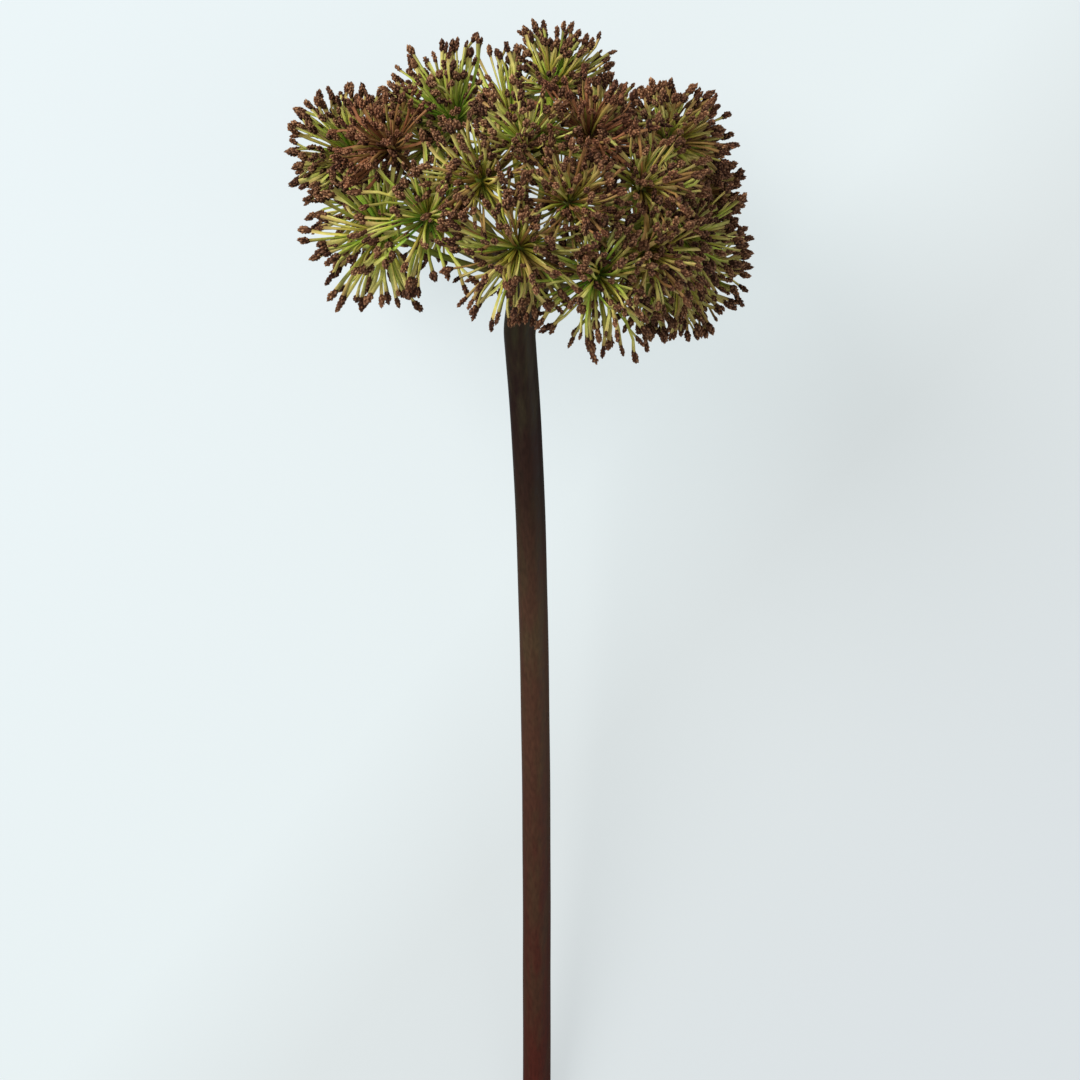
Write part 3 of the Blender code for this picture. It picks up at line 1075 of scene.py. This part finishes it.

# The floor: partly bright by itself, so that it stays pale and shows only a soft shadow. Its glow is
# painted light, and its dimming towards +X and -Y is painted shade.
FLOOR_SIZE = 6.0
FLOOR_SLOPE = (-1.8, 1.6)  # how fast its brightness rises along X and Y, per metre
FLOOR_MIDDLE = 0.5  # its brightness at the origin
FLOOR_COLOURS = (
    (0.0, (0.645, 0.69, 0.705)),
    (0.36, (0.66, 0.71, 0.71)),
    (0.52, (0.745, 0.82, 0.825)),
    (1.0, (0.75, 0.83, 0.845)),
)
FAR_COLOUR = (0.72, 0.785, 0.80)
FAR_SCALE = 0.5  # per metre from the origin
FAR_STOPS = (0.15, 0.7)
FLOOR_GLOW = (0.84, 0.835, 0.838)  # share of those colours that it gives off
FLOOR_PAINT = (0.125, 0.133, 0.1375, 1)  # what it reflects
FLOOR_BOUNCE = 0.3  # share of the floor's glow that lights the seed head from below

SKY_LIGHT = (0.93, 0.97, 1.0, 1)
SKY_STRENGTH = 0.67
SKY_SEEN = (0.755, 0.802, 0.818, 1)  # behind the floor's far edge, where it meets the far colour

# Lights: where they stand, how wide and how strong they are, and their colour. They face the hub.
LIGHTS = (
    ("key", (-1.15, 0.9, 1.3), 1.2, 50, (1.0, 0.98, 0.95)),
    ("fill", (1.2, -0.4, 1.2), 1.0, 3.5, (0.95, 0.98, 1.0)),
    ("low_fill", (1.3, -0.1, 0.3), 1.0, 3.5, (0.98, 0.99, 1.0)),
)


def make_floor():
    bpy.ops.mesh.primitive_plane_add(size=FLOOR_SIZE, location=(0, 0, 0))
    floor = bpy.context.object
    floor.name = "floor"
    material, tree, shader = new_material("pale_floor", Roughness=0.9, Specular_IOR_Level=0.0)
    place = add_node(tree, "ShaderNodeTexCoord").outputs["Object"]
    split = add_node(tree, "ShaderNodeSeparateXYZ", {"Vector": place})
    # Painted shade: the glow dims towards +X and -Y.
    rise = maths(tree, "ADD", maths(tree, "MULTIPLY", split.outputs["Y"], FLOOR_SLOPE[1]), FLOOR_MIDDLE)
    rise = maths(tree, "ADD", rise, maths(tree, "MULTIPLY", split.outputs["X"], FLOOR_SLOPE[0]))
    distance = add_node(tree, "ShaderNodeVectorMath", {0: place}, operation="LENGTH").outputs["Value"]
    afar = grey_ramp(tree, maths(tree, "MULTIPLY", distance, FAR_SCALE), FAR_STOPS, (0, 1))
    colour = mix(tree, afar, ramp(tree, rise, FLOOR_COLOURS), FAR_COLOUR)
    glow = mix(tree, 1.0, colour, FLOOR_GLOW, "MULTIPLY")
    tree.links.new(glow, shader.inputs["Emission Color"])
    seen = add_node(tree, "ShaderNodeLightPath").outputs["Is Camera Ray"]
    strength = maths(tree, "MULTIPLY_ADD", seen, 1 - FLOOR_BOUNCE)
    strength.node.inputs[2].default_value = FLOOR_BOUNCE
    tree.links.new(strength, shader.inputs["Emission Strength"])
    shader.inputs["Base Color"].default_value = FLOOR_PAINT
    floor.data.materials.append(material)


def make_light(name, location, target, size, power, colour):
    light = bpy.data.lights.new(name, "AREA")
    light.shape = "DISK"
    light.size = size
    light.energy = power
    light.color = colour
    obj = bpy.data.objects.new(name, light)
    obj.location = location
    obj.rotation_euler = Vector(target - np.array(location)).to_track_quat("-Z", "Y").to_euler()
    bpy.context.scene.collection.objects.link(obj)


def make_world():
    """Soft light from all round, and a pale backdrop where the camera looks past the floor."""
    world = bpy.data.worlds.new("studio")
    bpy.context.scene.world = world
    world.use_nodes = True
    tree = world.node_tree
    tree.nodes.clear()
    soft = add_node(tree, "ShaderNodeBackground", {"Color": SKY_LIGHT, "Strength": SKY_STRENGTH})
    seen = add_node(tree, "ShaderNodeBackground", {"Color": SKY_SEEN, "Strength": 1.0})
    rays = add_node(tree, "ShaderNodeLightPath")
    blend = add_node(
        tree,
        "ShaderNodeMixShader",
        {0: rays.outputs["Is Camera Ray"], 1: soft.outputs[0], 2: seen.outputs[0]},
    )
    add_node(tree, "ShaderNodeOutputWorld", {"Surface": blend.outputs[0]})


def make_camera(hub):
    camera = bpy.data.cameras.new("camera")
    camera.sensor_width = SENSOR
    camera.lens = SENSOR * CAMERA_HEIGHT / FRAME_WIDTH
    camera.clip_end = CLIP_END
    obj = bpy.data.objects.new("camera", camera)
    obj.location = (hub[0] + FRAME_SHIFT[0], hub[1] + FRAME_SHIFT[1], hub[2] + CAMERA_HEIGHT)
    bpy.context.scene.collection.objects.link(obj)
    bpy.context.scene.camera = obj


def main():
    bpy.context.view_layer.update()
    hub = find_hub()
    slots = {part["node"]: part["material_slot"] for part in frame["record"]["subparts"]}
    names = sorted(name for name in frame["nodes"] if name.startswith("umbellet"))
    umbellets = [read_umbellet(name, hub) for name in names]
    materials = {
        "umbellet": burst_material("green_burst"),
        RUSTY_SLOT: burst_material("rusty_burst"),
    }
    for index, umbellet in enumerate(umbellets):
        dice = np.random.default_rng((SEED, index))
        slot = slots[umbellet["name"]]
        make_umbellet(umbellet, umbellets, hub, materials[slot], slot, dice)
    make_stem(hub, stem_material())

    make_floor()
    make_world()
    for name, location, size, power, colour in LIGHTS:
        make_light(name, location, hub, size, power, colour)
    make_camera(hub)
    bpy.context.scene.view_settings.view_transform = "Standard"

    bpy.context.view_layer.update()


with open("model.json") as file:
    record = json.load(file)
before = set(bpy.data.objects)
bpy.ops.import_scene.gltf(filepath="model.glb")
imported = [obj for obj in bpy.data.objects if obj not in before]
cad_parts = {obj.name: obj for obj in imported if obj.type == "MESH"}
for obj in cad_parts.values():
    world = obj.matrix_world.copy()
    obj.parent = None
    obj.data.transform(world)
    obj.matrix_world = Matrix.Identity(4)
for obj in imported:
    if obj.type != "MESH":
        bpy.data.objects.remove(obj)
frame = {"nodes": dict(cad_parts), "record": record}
main()
